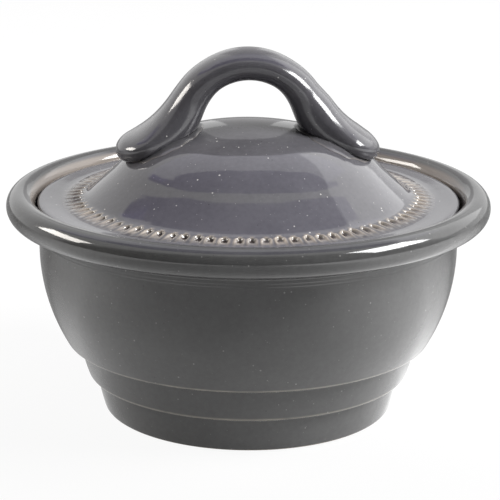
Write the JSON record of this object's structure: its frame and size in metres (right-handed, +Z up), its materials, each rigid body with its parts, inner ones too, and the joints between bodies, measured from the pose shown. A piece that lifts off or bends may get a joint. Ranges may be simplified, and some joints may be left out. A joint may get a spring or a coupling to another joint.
{
  "type": "sugar bowl with lid",
  "caption": "Round stepped stoneware bowl with a rolled rim and a drop-in domed lid that lifts off by an arched strap handle.",
  "frame": {"origin": "centre of the foot, on the surface that the bowl stands on", "axes": "+Z up along the bowl's axis, +X along the handle"},
  "size_m": [0.121, 0.121, 0.0914],
  "materials": {
    "bowl_glaze": "speckled grey glaze, gloss",
    "lid_glaze": "speckled grey glaze, gloss",
    "handle_glaze": "speckled grey glaze, gloss",
    "slip_glaze": "grey glaze over smeared slip, gloss"
  },
  "bodies": {
    "bowl": {"bowl": "bowl_glaze"},
    "lid": {"lid": "lid_glaze", "lid_handle": "handle_glaze", "right_slip_seam": "slip_glaze", "left_slip_seam": "slip_glaze"}
  },
  "joints": [
    {"name": "lid_lift", "type": "slide", "parent": "bowl", "child": "lid", "axis": [0, 0, 1], "range_m": [0, 0.08]}
  ]
}
